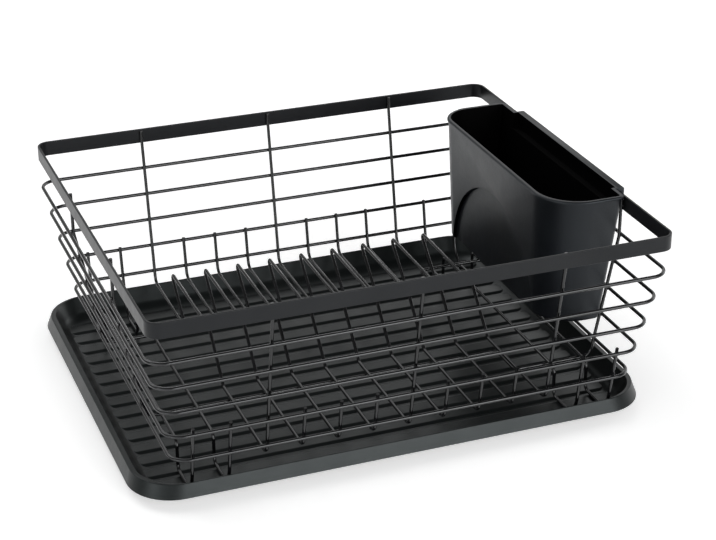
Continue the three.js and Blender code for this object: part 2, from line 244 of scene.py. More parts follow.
# %% The five finishes
wire_coat = black_finish(
    "wire powder coat", tones=[(0.002, 0.002, 0.002), (0.004, 0.004, 0.005)], gloss=(0.1, 0.16),
    shine=0.6, tint=(0.97, 0.99, 1), patch_scale=25, grain_scale=2600, grain_depth=0.01 * mm,
    peel_scale=700, peel_depth=0.03 * mm)
strip_coat = black_finish(
    "strip powder coat", tones=[(0.004, 0.004, 0.005), (0.008, 0.008, 0.009)], gloss=(0.30, 0.42),
    shine=0.3, tint=(0.92, 0.97, 1), patch_scale=20, grain_scale=2600, grain_depth=0.02 * mm,
    peel_scale=600, peel_depth=0.06 * mm)
tray_plastic = black_finish(
    "tray moulding", tones=[(0.002, 0.003, 0.003), (0.005, 0.006, 0.006)], gloss=(0.28, 0.4),
    shine=0.33, tint=(0.9, 0.98, 0.99), patch_scale=9, grain_scale=3200, grain_depth=0.02 * mm,
    peel_scale=160, peel_depth=0.06 * mm)
caddy_plastic = black_finish(
    "caddy moulding", tones=[(0.002, 0.002, 0.003), (0.005, 0.006, 0.008)], gloss=(0.32, 0.42),
    shine=0.41, tint=(0.86, 0.94, 1), patch_scale=12, grain_scale=3000, grain_depth=0.03 * mm,
    peel_scale=220, peel_depth=0.06 * mm)
# The fifth finish is painted shade: a near-black, nearly shineless material that stands in for the shade
# filling the caddy's cup.
caddy_inside_painted_shade = black_finish(
    "caddy inside painted shade", tones=[(0.0003, 0.0003, 0.0004), (0.0007, 0.0007, 0.0008)], gloss=(0.6, 0.7),
    shine=0.03, tint=(1, 1, 1), patch_scale=12, grain_scale=2400, grain_depth=0.03 * mm,
    peel_scale=220, peel_depth=0.06 * mm)
finishes = [wire_coat, strip_coat, tray_plastic, caddy_plastic, caddy_inside_painted_shade]
print("finishes:", [m.name for m in finishes])

# %% [markdown]
# ## Where the basket stands
#
# The basket's own middle is 4 mm right of the tray's and 8 mm in front of it. Its long walls lean inwards
# by 0.181 for each unit down, and its short walls by 0.196, so that the wires' places at any height
# follow from the rim. The same two rules place the uprights, the loops outside them and the welds between
# them. The basket's feet stand on the tray's ribs, so the height of the ribs is given here too.

# %% The basket's places
basket_middle = Vector((4 * mm, -8 * mm, 0))
rim_length, rim_depth, rim_top, rim_height = 420 * mm, 368 * mm, 169 * mm, 12.7 * mm
strip_thickness = 2 * mm
wire_thickness, loop_thickness, weld_gap = 2.8 * mm, 3 * mm, 0.3 * mm
rib_top = 3.5 * mm
long_lean, short_lean = 0.181, 0.196
rim_bottom = rim_top - rim_height
first_loop = rim_top - 35.4 * mm
loop_pitch = 23.3 * mm
loop_count = 5
floor_height = 30.5 * mm
cross_height = floor_height - wire_thickness - weld_gap
upright_inset = strip_thickness + weld_gap + wire_thickness / 2
wire_to_loop = (wire_thickness + loop_thickness) / 2 + weld_gap


def long_wall(height):
    """How far the long walls' uprights are from the basket's middle."""
    return rim_depth / 2 - upright_inset - long_lean * max(0, rim_bottom - height)


def short_wall(height):
    return rim_length / 2 - upright_inset - short_lean * max(0, first_loop - height)


def loop_height(k):
    return first_loop - k * loop_pitch


print("wall at the floor:", round(long_wall(floor_height), 4), round(short_wall(floor_height), 4))

# %% [markdown]
# ## The rim
#
# The rim is a flat steel strip bent on edge into a rounded rectangle, and its rolled edges catch a thin
# line of light. It could be a curve with a flat profile, but a sheet stays exactly upright in the
# corners. A rectangle with its corners rounded gives the outline. It is extruded upwards, gets its
# thickness from Solidify and its soft edges from Bevel.

# %% The rim strip
def rounded_sheet(name, left, right, front, back, height, radius, segments):
    """A flat rectangle with round corners."""
    piece = add_sheet(name, left, right, front, back, height)
    begin_editing()
    bpy.ops.mesh.select_all(action="SELECT")
    bpy.ops.mesh.bevel(offset_type="OFFSET", offset=radius, segments=segments, affect="VERTICES")
    bpy.ops.mesh.select_all(action="SELECT")
    bpy.ops.mesh.remove_doubles(threshold=2 * touching)
    end_editing()
    return piece


def centred_sheet(name, length, depth, height, radius, segments):
    """A rounded sheet round the basket's middle."""
    x, y = basket_middle.x, basket_middle.y
    return rounded_sheet(name, x - length / 2, x + length / 2, y - depth / 2, y + depth / 2, height,
                         radius, segments)


rim_corner, rolled_edge = 11 * mm, 0.55 * mm
rim = centred_sheet("rim_strip", rim_length, rim_depth, rim_bottom, rim_corner, 16)
begin_editing()
bpy.ops.mesh.select_all(action="SELECT")
bpy.ops.mesh.delete(type="ONLY_FACE")
bpy.ops.mesh.select_all(action="SELECT")
bpy.ops.mesh.extrude_region_move(TRANSFORM_OT_translate={"value": (0, 0, rim_height)})
bpy.ops.mesh.select_all(action="SELECT")
bpy.ops.mesh.normals_make_consistent(inside=False)
end_editing()
apply_modifier(rim, "SOLIDIFY", thickness=strip_thickness, offset=-1, use_even_offset=True)
apply_modifier(rim, "BEVEL", width=rolled_edge, segments=3, angle_limit=math.radians(60))
smooth(rim)
keep_flats_flat(rim)
finish_piece(rim, "basket", "strip_coating", strip_coat, "rim_band")
print("rim strip:", len(rim.data.polygons), "faces")

# %% [markdown]
# ## The loops
#
# Five round wires run round the outside of the basket, each a little smaller than the one above. A circle
# that is extruded along the way would pinch in the corners. So a loop is a rounded rectangle's edge,
# turned into a curve that is given the wire's thickness, and then made a mesh again.

# %% The loops
def thicken(piece, thickness):
    """Turns a mesh of edges into a round wire of twelve sides."""
    select_only(piece)
    bpy.ops.object.convert(target="CURVE")
    piece.data.dimensions = "3D"
    piece.data.bevel_depth = thickness / 2
    piece.data.bevel_resolution = 4
    piece.data.use_fill_caps = True
    bpy.ops.object.convert(target="MESH")
    begin_editing()
    bpy.ops.mesh.select_all(action="SELECT")
    bpy.ops.mesh.remove_doubles(threshold=touching)
    bpy.ops.mesh.normals_make_consistent(inside=False)
    end_editing()


loop_corner = 15 * mm
for k in range(loop_count):
    height = loop_height(k)
    length = 2 * (short_wall(height) + wire_to_loop * math.hypot(1, short_lean))
    depth = 2 * (long_wall(height) + wire_to_loop * math.hypot(1, long_lean))
    loop = centred_sheet(f"loop_{k + 1}", length, depth, height, loop_corner, 12)
    begin_editing()
    bpy.ops.mesh.select_all(action="SELECT")
    bpy.ops.mesh.delete(type="ONLY_FACE")
    end_editing()
    thicken(loop, loop_thickness)
    smooth(loop)
    finish_piece(loop, "basket", "wire_coating", wire_coat, f"loop_wire_{k + 1}")
print("loops at", [round(loop_height(k) / mm, 1) for k in range(loop_count)], "mm")

# %% [markdown]
# ## Bent wires
#
# The other wires are bent on a jig: straight runs with a round bend between them. Bezier curves could
# follow them, but their bends aren't true arcs. So the jig's own two moves make them here: one vertex is
# extruded along each run, and spun about the bend's middle at each corner. The cut ends are bevelled,
# because the coat rounds them.

# %% A helper for bent wires
bend_steps, end_round = 6, 0.5 * mm


def draw_wire(stops):
    """Extrudes and spins one vertex through the stops. A stop is a place and the radius of its bend."""
    here = stops[0][0]
    bpy.ops.transform.translate(value=here)
    for k in range(1, len(stops)):
        place, radius = stops[k]
        arriving = (place - stops[k - 1][0]).normalized()
        if k == len(stops) - 1:
            bpy.ops.mesh.extrude_vertices_move(TRANSFORM_OT_translate={"value": place - here})
            return
        leaving = (stops[k + 1][0] - place).normalized()
        turn = arriving.angle(leaving)
        start = place - arriving * radius * math.tan(turn / 2)
        axis = arriving.cross(leaving).normalized()
        middle = start + axis.cross(arriving) * radius
        bpy.ops.mesh.extrude_vertices_move(TRANSFORM_OT_translate={"value": start - here})
        bpy.ops.mesh.spin(steps=bend_steps, angle=-turn, center=middle, axis=axis)
        here = middle + Quaternion(axis, turn) @ (start - middle)


def bent_wire(name, stops):
    """A round wire with its ends rounded, bent through stops that count from the basket's middle."""
    bpy.ops.object.select_all(action="DESELECT")
    bpy.ops.mesh.primitive_plane_add(size=wire_thickness)
    piece = bpy.context.object
    piece.name = piece.data.name = name
    begin_editing()
    bpy.ops.mesh.select_all(action="SELECT")
    bpy.ops.mesh.merge(type="CENTER")
    draw_wire([(basket_middle + Vector(place), radius) for place, radius in stops])
    end_editing()
    thicken(piece, wire_thickness)
    begin_editing()
    pick("FACE", lambda face: len(face.verts) > 4)
    bpy.ops.mesh.bevel(offset=end_round, segments=2)
    end_editing()
    smooth(piece, 50)
    return piece


# %% [markdown]
# ## The floor wires
#
# Thirteen wires run from back to front under the plates. Nine of them part the plates: each is bent up
# from the floor into one long hump, whose two legs lean back, and three of these go on up to the rim. The
# outer four dip to the tray as feet. All but the three end just above the fourth loop. Each kind is
# modelled once, at the basket's middle, and its copies are moved along, because that is how the real ones
# come off the jig.

# %% The shapes of the floor wires
wire_pitch = 29.2 * mm
wire_top = rim_top - 1 * mm
short_top = loop_height(3) + 3.6 * mm
upright_bend, hump_bend, foot_bend, foot_corner = 8 * mm, 3 * mm, 6 * mm, 20 * mm
hump_top = floor_height + 35.5 * mm
back_leg_foot, back_leg_top = 61 * mm, 101.5 * mm
front_leg_foot, front_leg_top = -48 * mm, -13 * mm
foot_height = rib_top + weld_gap + wire_thickness / 2
foot_rise = 115 * mm
floor_edge = long_wall(floor_height)
foot_edge = long_wall(foot_height)


def wall_stops(side, reaches_rim):
    """An upright's stops from its top downwards. The side is 1 at the back and -1 at the front."""
    if reaches_rim:
        place = side * long_wall(rim_top)
        return [((0, place, wire_top), 0), ((0, place, rim_bottom), upright_bend)]
    return [((0, side * long_wall(short_top), short_top), 0)]


def divider_stops(reaches_rim):
    hump = [((0, floor_edge, floor_height), upright_bend), ((0, back_leg_foot, floor_height), hump_bend),
            ((0, back_leg_top, hump_top), hump_bend), ((0, front_leg_top, hump_top), hump_bend),
            ((0, front_leg_foot, floor_height), hump_bend), ((0, -floor_edge, floor_height), upright_bend)]
    return wall_stops(1, reaches_rim) + hump + wall_stops(-1, reaches_rim)[::-1]


def foot_stops():
    back = [((0, foot_edge, foot_height), foot_corner), ((0, foot_rise, foot_height), foot_bend),
            ((0, foot_rise, floor_height), foot_bend)]
    front = [((0, -y, z), radius) for (x, y, z), radius in back[::-1]]
    return wall_stops(1, False) + back + front + wall_stops(-1, False)[::-1]


short_divider = bent_wire("divider_pattern", divider_stops(False))
tall_divider = bent_wire("tall_divider_pattern", divider_stops(True))
foot = bent_wire("foot_pattern", foot_stops())
print("faces in each floor wire:", [len(w.data.polygons) for w in (short_divider, tall_divider, foot)])

# %% The thirteen floor wires
rim_wires = [2, 6, 10]
foot_wires = [0, 1, 11, 12]
wire_places = [(k - 6) * wire_pitch for k in range(13)]
made = {"divider": 0, "foot": 0}
for k, x in enumerate(wire_places):
    kind = "foot" if k in foot_wires else "divider"
    pattern = foot if kind == "foot" else tall_divider if k in rim_wires else short_divider
    made[kind] += 1
    piece = copy_of(pattern, f"{kind}_{made[kind]}", (x, 0, 0))
    finish_piece(piece, "basket", "wire_coating", wire_coat, f"{kind}_wire_{made[kind]}")
for pattern in (short_divider, tall_divider, foot):
    bpy.data.objects.remove(pattern)
print("floor wires:", made)

# %% [markdown]
# ## The cross wires
#
# Two wires run from left to right under the floor wires and carry them. Near the right end each steps
# outwards, so that it rises beside the caddy and not behind it. Both follow one list of stops, mirrored
# for the front, so that they can't differ.

# %% The cross wires
step_x = 4 * wire_pitch
cross_edge = short_wall(cross_height)
cross_upper = short_wall(rim_top)
left_place, right_place, step_bend = 66 * mm, 101 * mm, 5 * mm


def cross_stops(side):
    left, right = side * left_place, side * right_place
    return [((-cross_upper, left, wire_top), 0), ((-cross_upper, left, first_loop), upright_bend),
            ((-cross_edge, left, cross_height), upright_bend), ((step_x, left, cross_height), step_bend),
            ((step_x, right, cross_height), step_bend), ((cross_edge, right, cross_height), upright_bend),
            ((cross_upper, right, first_loop), upright_bend), ((cross_upper, right, wire_top), 0)]


for name, side in (("back", 1), ("front", -1)):
    piece = bent_wire(f"cross_{name}", cross_stops(side))
    finish_piece(piece, "basket", "wire_coating", wire_coat, f"cross_wire_{name}")
print("cross wires: 2")

# %% [markdown]
# ## The welds
#
# Wherever two wires cross they are spot welded, and the coat fills the crook between them. Melting the
# wires into one mesh would show that too, but at many times the faces. A small flattened bead at each
# crossing is enough. It is coarse, because there are more than a hundred of them.

# %% Where the wires cross
strip_welds = (0.3, 0.75)
weld_places = []
for k, x in enumerate(wire_places):
    crossed = range(loop_count) if k in rim_wires else (3, 4)
    for side in (1, -1):
        for n in crossed:
            z = loop_height(n)
            y = side * (long_wall(z) + wire_to_loop / 2)
            weld_places.append((x, y, z))
        if k in rim_wires:
            y = side * (rim_depth / 2 - strip_thickness - weld_gap / 2)
            weld_places += [(x, y, rim_bottom + share * rim_height) for share in strip_welds]
        cross_place = left_place if x <= step_x + 1 * mm else right_place
        weld_places.append((x, side * cross_place, (floor_height + cross_height) / 2))
for side in (1, -1):
    for end, place in ((-1, left_place), (1, right_place)):
        for n in range(loop_count):
            z = loop_height(n)
            weld_places.append((end * (short_wall(z) + wire_to_loop / 2), side * place, z))
        x = end * (rim_length / 2 - strip_thickness - weld_gap / 2)
        weld_places += [(x, side * place, rim_bottom + share * rim_height) for share in strip_welds]
print("welds:", len(weld_places))

# %% The weld beads
bpy.ops.object.select_all(action="DESELECT")
weld_radius = 1.25 * mm
bpy.ops.mesh.primitive_uv_sphere_add(segments=8, ring_count=5, radius=weld_radius)
bead = bpy.context.object
begin_editing()
bpy.ops.mesh.select_all(action="SELECT")
bpy.ops.transform.resize(value=(1, 1, 0.9))
end_editing()
beads = [copy_of(bead, f"weld_{k}", basket_middle + Vector(place)) for k, place in enumerate(weld_places)]
bpy.data.objects.remove(bead)
select_only(*beads)
bpy.ops.object.join()
welds = bpy.context.object
welds.name = welds.data.name = "welds"
smooth(welds, 80)
finish_piece(welds, "basket", "wire_coating", wire_coat)
print("weld faces:", len(welds.data.polygons))

# %% [markdown]
# ## The drip tray
#
# The tray is one moulding of even wall: a floor, a steep inner wall, a narrow lip and a skirt that hangs
# from it and spreads a little towards its foot. Hollowing out a block would need the wall's thickness in
# every step, so it is modelled as a sheet without thickness. A rounded rectangle is inset for the lip and
# again for the wall, its outer edge is extruded down and widened for the skirt, and the lip is drawn in
# at both ends, where it is wider. The three folds are bevelled to their own softness, and Solidify gives
# the thickness.

# %% The tray's sheet
tray_length, tray_depth, tray_height = 430.5 * mm, 345 * mm, 20 * mm
flare, lip_width, slope_width, wider_at_ends = 3.5 * mm, 1.3 * mm, 11.8 * mm, 2.8 * mm
tray_wall, tray_floor, skirt_height = 2 * mm, 2 * mm, 11 * mm
tray_corner = 40 * mm
half_length, half_depth = tray_length / 2 - flare, tray_depth / 2 - flare
lip_corner = tray_corner - flare
tray = rounded_sheet("tray", -half_length, half_length, -half_depth, half_depth, tray_height,
                     lip_corner, 24)
begin_editing()
bpy.ops.mesh.select_all(action="SELECT")
bpy.ops.mesh.inset(thickness=lip_width)
bpy.ops.mesh.inset(thickness=slope_width, depth=-(tray_height - tray_floor))


def inset_of(place):
    """How far a place lies inside the lip's outer edge."""
    x = max(0, abs(place.x) - (half_length - lip_corner))
    y = max(0, abs(place.y) - (half_depth - lip_corner))
    return lip_corner - max(x, y) if min(x, y) == 0 else lip_corner - math.hypot(x, y)


def at_height(vertex, height):
    return abs(vertex.co.z - height) < slack


def on_outer_edge(edge):
    return all(at_height(v, tray_height) and inset_of(v.co) < 3 * slack for v in edge.verts)


def on_inner_edge(edge):
    return all(at_height(v, tray_height) and inset_of(v.co) > lip_width - slack for v in edge.verts)


def on_wall_foot(edge):
    return all(at_height(v, tray_floor) for v in edge.verts)


pick("EDGE", on_outer_edge)
bpy.ops.mesh.extrude_region_move(TRANSFORM_OT_translate={"value": (0, 0, -skirt_height)})
bpy.ops.transform.resize(value=(tray_length / (2 * half_length), tray_depth / (2 * half_depth), 1))
pick("EDGE", on_inner_edge)
bpy.ops.transform.resize(value=(1 - wider_at_ends / (half_length - lip_width), 1, 1))
for name, passes, reach, segments in (("foot of the wall", on_wall_foot, 8 * mm, 8),
                                      ("inner edge of the lip", on_inner_edge, 0.6 * mm, 3),
                                      ("outer edge of the lip", on_outer_edge, 0.5 * mm, 3)):
    picked = pick("EDGE", passes)
    bpy.ops.mesh.bevel(offset=reach, segments=segments)
    print(name + ":", picked, "edges bevelled")
bpy.ops.mesh.select_all(action="SELECT")
bpy.ops.mesh.normals_make_consistent(inside=False)
end_editing()

# %% [markdown]
# Solidify puts the thickness behind the faces. A floor face that points down would put it on the wrong
# side, so the sheet is checked first. The sharp edge at the skirt's foot gets a small bevel.

# %% The tray's wall
skirt_foot_bevel = 0.3 * mm
if max(tray.data.polygons, key=lambda p: p.area).normal.z < 0:
    begin_editing()
    bpy.ops.mesh.select_all(action="SELECT")
    bpy.ops.mesh.flip_normals()
    end_editing()
apply_modifier(tray, "SOLIDIFY", thickness=tray_wall, offset=-1, use_even_offset=True)
apply_modifier(tray, "BEVEL", width=skirt_foot_bevel, segments=2, angle_limit=math.radians(70))
print("tray:", len(tray.data.polygons), "faces")

# %% [markdown]
# ## The ribs
#
# Fifteen low ribs lie along the tray's floor and keep the feet out of the water. One rib is a rounded
# sheet, raised through the floor's surface, inset for its sloping sides and softened on top. Its sides
# spread towards the foot, so that the grooves between the ribs read as dark, soft lines. It is cut off
# square where the wall's round foot has risen past its top, so that the grooves run out in points and no
# end shows behind the wall. The copies stand with their roots in the floor.

# %% The ribs
rib_pitch, rib_width, rib_slope, rib_round = 19.65 * mm, 17.4 * mm, 2.7 * mm, 0.6 * mm
rib_root, past_wall_foot, cut_off = 0.1 * mm, 2 * mm, 3.7 * mm
nearly_half = 0.4999
rib_length = tray_length - 2 * (flare + lip_width + slope_width - past_wall_foot)
rib_end = rib_length / 2 - cut_off
first_rib = rounded_sheet("rib", -rib_length / 2, rib_length / 2, -rib_width / 2, rib_width / 2,
                          tray_floor - rib_root, nearly_half * rib_width, 10)
begin_editing()
bpy.ops.mesh.select_all(action="SELECT")
bpy.ops.mesh.extrude_region_move(TRANSFORM_OT_translate={"value": (0, 0, rib_root)})
bpy.ops.mesh.inset(thickness=rib_slope, depth=rib_top - tray_floor)
pick("EDGE", lambda e: all(v.co.z > rib_top - slack for v in e.verts))
bpy.ops.mesh.bevel(offset=rib_round, segments=3)
bpy.ops.mesh.select_mode(type="EDGE")
bpy.ops.mesh.select_all(action="DESELECT")
bpy.ops.mesh.select_non_manifold()
bpy.ops.mesh.edge_face_add()
for side in (1, -1):
    bpy.ops.mesh.select_all(action="SELECT")
    bpy.ops.mesh.bisect(plane_co=(side * rib_end, 0, 0), plane_no=(side, 0, 0), clear_outer=True,
                        use_fill=True)
bpy.ops.mesh.select_all(action="SELECT")
bpy.ops.mesh.remove_doubles(threshold=touching)
bpy.ops.mesh.normals_make_consistent(inside=False)
end_editing()
ribs = [copy_of(first_rib, f"rib_{k}", (0, k * rib_pitch, 0)) for k in range(-7, 8)]
bpy.data.objects.remove(first_rib)
print("ribs:", len(ribs), "of", len(ribs[0].data.polygons), "faces")

# %% [markdown]
# Where the tray's corners are round, that cut isn't enough. The outermost two ribs are cut once more at
# each end, by an upright plane that faces the corner. Then all are joined to the tray, because it is one
# moulding.

# %% The outermost ribs
corner_x, corner_y = half_length - lip_corner, half_depth - lip_corner
corner_margin, corner_turn = 1.9 * mm, math.radians(27)
corner_reach = lip_corner - lip_width - slope_width - corner_margin
for rib, back in ((ribs[0], -1), (ribs[-1], 1)):
    select_only(rib)
    begin_editing()
    for side in (1, -1):
        facing = Vector((side * math.cos(corner_turn), back * math.sin(corner_turn), 0))
        cut = Vector((side * corner_x, back * corner_y, 0)) + facing * corner_reach
        bpy.ops.mesh.select_all(action="SELECT")
        bpy.ops.mesh.bisect(plane_co=cut, plane_no=facing, clear_outer=True, use_fill=True)
    end_editing()
    print(rib.name, "cut:", len(rib.data.polygons), "faces")

# %% The tray with its ribs
select_only(tray, *ribs)
bpy.ops.object.join()
smooth(tray, 40)
keep_flats_flat(tray)
finish_piece(tray, "tray", "tray_plastic", tray_plastic, "drip_tray")
print("tray with ribs:", len(tray.data.polygons), "faces")

# %% [markdown]
# ## The cutlery caddy
#
# The caddy is a tapered cup, nearly four times as long as it is deep, and its inner side is bowed at both
# ends. Two outlines joined by a bridge would make it too, but then each bow needs its own points. So a
# block is drawn in at its foot, and its four upright edges are bevelled, each to its own radius.

# %% The caddy's places
wall = 2 * mm
seat_gap, upright_gap, hook_thickness, bead_depth = 0.3 * mm, 0.35 * mm, 3.2 * mm, 1.1 * mm
caddy_height, caddy_depth, caddy_half_length = 110 * mm, 62.6 * mm, 114 * mm
caddy_top = rim_top + (seat_gap + hook_thickness)
caddy_bottom = caddy_top - caddy_height
upright_face = wire_thickness / 2 * math.hypot(1, short_lean)
outer_top = short_wall(rim_top) - upright_face - (upright_gap + bead_depth) + basket_middle.x
outer_bottom = short_wall(caddy_bottom) - upright_face - upright_gap + basket_middle.x
inner_top = outer_top - caddy_depth
caddy_shift = 4.1 * mm
caddy_y = caddy_shift + basket_middle.y
front_y, back_y = caddy_y - caddy_half_length, caddy_y + caddy_half_length
print("caddy from", round(inner_top / mm, 1), "to", round(outer_top / mm, 1), "mm, foot at",
      round(caddy_bottom / mm, 1), "mm")

# %% The caddy's outside
caddy = add_block("caddy", (inner_top, front_y, caddy_bottom), (outer_top, back_y, caddy_top))
middle_x, middle_z = (inner_top + outer_top) / 2, (caddy_bottom + caddy_top) / 2
inner_draft, front_draft, back_draft = 1.3 * mm, 5 * mm, 10 * mm
begin_editing()
for passes, shift in ((lambda v: v.co.x < middle_x, (inner_draft, 0, 0)),
                      (lambda v: v.co.x > middle_x, (outer_bottom - outer_top, 0, 0)),
                      (lambda v: v.co.y < caddy_y, (0, front_draft, 0)),
                      (lambda v: v.co.y > caddy_y, (0, -back_draft, 0))):
    pick("VERT", lambda v: v.co.z < middle_z and passes(v))
    bpy.ops.transform.translate(value=shift)


def upright_edge(edge, inner, front):
    middle = middle_of(edge)
    rises = abs(edge.verts[0].co.z - edge.verts[1].co.z) > 0.9 * caddy_height
    return rises and (middle.x < middle_x) == inner and (middle.y < caddy_y) == front


outer_round, front_bow, back_bow, foot_round = 4 * mm, 36 * mm, 25 * mm, 3 * mm
for inner, front, radius, segments in ((False, True, outer_round, 6), (False, False, outer_round, 6),
                                       (True, True, front_bow, 20), (True, False, back_bow, 16)):
    picked = pick("EDGE", lambda e: upright_edge(e, inner, front))
    bpy.ops.mesh.bevel(offset=radius, segments=segments)
    print("caddy edge:", picked, "bevelled to", round(radius / mm), "mm")
pick("EDGE", lambda e: all(v.co.z < caddy_bottom + slack for v in e.verts))
bpy.ops.mesh.bevel(offset=foot_round, segments=5)
end_editing()

# %% [markdown]
# A shallow round-topped panel is set back into the inner side. It could be inset into the faces, but its
# arch runs across the bows, so a disc with a softened edge is cut out of the block. That comes before
# Solidify gives the wall, so the wall follows the panel inwards.

# %% The caddy's set-back panel
arch_depth, arch_radius, arch_drop, arch_edge = 4.8 * mm, 81.5 * mm, 34.5 * mm, 1 * mm
bpy.ops.object.select_all(action="DESELECT")
bpy.ops.mesh.primitive_cylinder_add(vertices=128, radius=arch_radius, depth=2 * arch_depth,
                                    location=(inner_top, caddy_y, caddy_top - arch_drop - arch_radius),
                                    rotation=(0, math.pi / 2, 0))
disc = bpy.context.object
bpy.ops.object.transform_apply(location=True, rotation=True, scale=True)
apply_modifier(disc, "BEVEL", width=arch_edge, segments=3, angle_limit=math.radians(60))
apply_modifier(caddy, "BOOLEAN", object=disc, operation="DIFFERENCE", solver="EXACT")
bpy.data.objects.remove(disc)
begin_editing()
pick("FACE", lambda f: f.normal.z > 0.9 and middle_of(f).z > caddy_top - slack)
bpy.ops.mesh.delete(type="FACE")
end_editing()
apply_modifier(caddy, "SOLIDIFY", thickness=wall, offset=-1, use_even_offset=True)
print("caddy shell:", len(caddy.data.polygons), "faces")

# %% [markdown]
# A narrow bead stiffens the cup's rim. The outer wall is cut by a level plane just below the top, the
# band above it is pushed out, and the bead's upper edge is rounded, so that only a thin line on it is
# bright. Pushing the leaning faces out also lifts their top a hair, so what stands above the top is
# brought down to it.

# %% The caddy's bead
bead_height, bead_round = 2.2 * mm, 1.3 * mm
begin_editing()
bpy.ops.mesh.select_all(action="SELECT")
bpy.ops.mesh.bisect(plane_co=(0, 0, caddy_top - bead_height), plane_no=(0, 0, 1))


def faces_out(face):
    """Picks the band's outer faces. The cup is long and narrow, so the short way counts for more."""
    middle = middle_of(face)
    outwards = Vector((3 * (middle.x - middle_x), middle.y - caddy_y, 0))
    in_band = abs(face.normal.z) < 0.5 and middle.z > caddy_top - bead_height + slack
    return in_band and face.normal.dot(outwards) > 0


def on_bead_top(edge):
    level = all(v.co.z > caddy_top - slack for v in edge.verts)
    return level and any(faces_out(face) for face in edge.link_faces)


picked = pick("FACE", faces_out)
bpy.ops.mesh.extrude_region_shrink_fatten(TRANSFORM_OT_shrink_fatten={"value": bead_depth})
rounded = pick("EDGE", on_bead_top)
bpy.ops.mesh.bevel(offset=bead_round, segments=4)
if pick("VERT", lambda v: v.co.z > caddy_top):
    bpy.ops.transform.resize(value=(1, 1, 0), center_override=(0, 0, caddy_top))
end_editing()
print("bead faces:", picked, "rounded edges:", rounded)

# %% [markdown]
# ## The caddy's seat and hook
#
# Between the two uprights the cup's outer wall steps out to the rim as a shallow seat, and a hook runs
# from the seat over the strip and down its outside. The hook starts as a flat bar whose outer edge is
# drawn down. Booleans join them to the cup, because it is one moulding and its wall has to run on without
# a seam.

# %% The seat and hook
seat_depth, hook_half, leg_thickness, leg_drop, hook_round = 16 * mm, 93.5 * mm, 2.2 * mm, 9 * mm, 1 * mm
seat_face = rim_length / 2 - strip_thickness - seat_gap + basket_middle.x
seat_bottom = caddy_top - seat_depth
overrun = 5 * mm
leg_inside = rim_length / 2 + seat_gap + basket_middle.x
leg_outside = leg_inside + leg_thickness
underside = caddy_top - hook_thickness
hook_front, hook_back = basket_middle.y - hook_half, basket_middle.y + hook_half
seat = add_block("seat", (outer_top - wall, hook_front, seat_bottom), (seat_face, hook_back, caddy_top))
hollow = add_block("hollow", (outer_top - 2 * wall, hook_front + wall, seat_bottom + wall),
                   (seat_face - wall, hook_back - wall, caddy_top + overrun))
hook = add_block("hook", (seat_face - wall, hook_front, underside), (leg_outside, hook_back, caddy_top))
begin_editing()
bpy.ops.mesh.select_all(action="SELECT")
bpy.ops.mesh.bisect(plane_co=(leg_inside, 0, 0), plane_no=(1, 0, 0))
pick("FACE", lambda f: f.normal.z < -0.9 and middle_of(f).x > leg_inside)
bpy.ops.mesh.extrude_region_move(TRANSFORM_OT_translate={"value": (0, 0, -leg_drop)})
pick("EDGE", lambda e: all(v.co.x > leg_outside - slack and v.co.z > caddy_top - slack for v in e.verts))
bpy.ops.mesh.bevel(offset=hook_round, segments=4)
bpy.ops.mesh.select_all(action="SELECT")
bpy.ops.mesh.remove_doubles(threshold=touching)
bpy.ops.mesh.normals_make_consistent(inside=False)
end_editing()
for other, operation in ((seat, "UNION"), (hollow, "DIFFERENCE"), (hook, "UNION")):
    apply_modifier(caddy, "BOOLEAN", object=other, operation=operation, solver="EXACT")
    bpy.data.objects.remove(other)
print("caddy with hook:", len(caddy.data.polygons), "faces")

# %% [markdown]
# Two rows of round holes let the water out of the cup's floor. All fourteen drills are joined and cut at
# once, which is quicker than one cut for each.

# %% The drain holes
hole_radius, hole_pitch, row_offset, drill_length = 3 * mm, 26 * mm, 11 * mm, 8 * mm
floor_middle = (inner_top + outer_bottom) / 2
drills = []
for row in (-1, 1):
    for k in range(7):
        bpy.ops.object.select_all(action="DESELECT")
        place = (floor_middle + row * row_offset, caddy_y + (k - 3) * hole_pitch, caddy_bottom)
        bpy.ops.mesh.primitive_cylinder_add(vertices=20, radius=hole_radius, depth=drill_length,
                                            location=place)
        drills.append(bpy.context.object)
select_only(*drills)
bpy.ops.object.join()
drill = bpy.context.object
bpy.ops.object.transform_apply(location=True, rotation=True, scale=True)
apply_modifier(caddy, "BOOLEAN", object=drill, operation="DIFFERENCE", solver="EXACT")
bpy.data.objects.remove(drill)
begin_editing()
bpy.ops.mesh.select_all(action="SELECT")
bpy.ops.mesh.remove_doubles(threshold=touching)
end_editing()
print("drain holes:", len(drills))

# %% The caddy's soft edges
mould_edge = 0.35 * mm
apply_modifier(caddy, "BEVEL", width=mould_edge, segments=2, angle_limit=math.radians(50))
smooth(caddy)
finish_piece(caddy, "caddy", "caddy_plastic", caddy_plastic, "cutlery_caddy")
print("caddy done:", len(caddy.data.polygons), "faces")

# %% [markdown]
# The cup's inside is painted shade: a near-black, nearly shineless second material stands in for the
# deep shade that fills the cup. A second mesh for the inside would have to fit the first, so the same mesh
# gets a second material. The faces that look at the cup's middle take it, from just below the top down.

# %% The caddy's inside
# The second material is the painted shade for the cup's inside.
caddy.data.materials.append(caddy_inside_painted_shade)


def looks_inwards(face):
    """Picks the cup's inside: its walls, and its floor, which looks up."""
    inwards = Vector((middle_x - face.center.x, (caddy_y - face.center.y) / 4, 0))
    within = face.center.x < seat_face - wall + slack and face.center.z < caddy_top - 4 * slack
    looks_up = face.normal.z > 0.2 and face.center.z < caddy_top - 3 * mm
    return within and face.normal.z > -0.7 and (looks_up or face.normal.dot(inwards) > 0)


inside = [face for face in caddy.data.polygons if looks_inwards(face)]
# These inward-looking faces take the painted shade.
for face in inside:
    face.material_index = 1
print("inside faces:", len(inside))

# %% [markdown]
# ## The floor
#
# The drainer stands on a plain white floor that keeps a soft shadow. More light would make the floor
# white too, but it would wash out the black. So to the camera, in reflections and through glass the floor
# gives off a little light of its own, which lights nothing else.

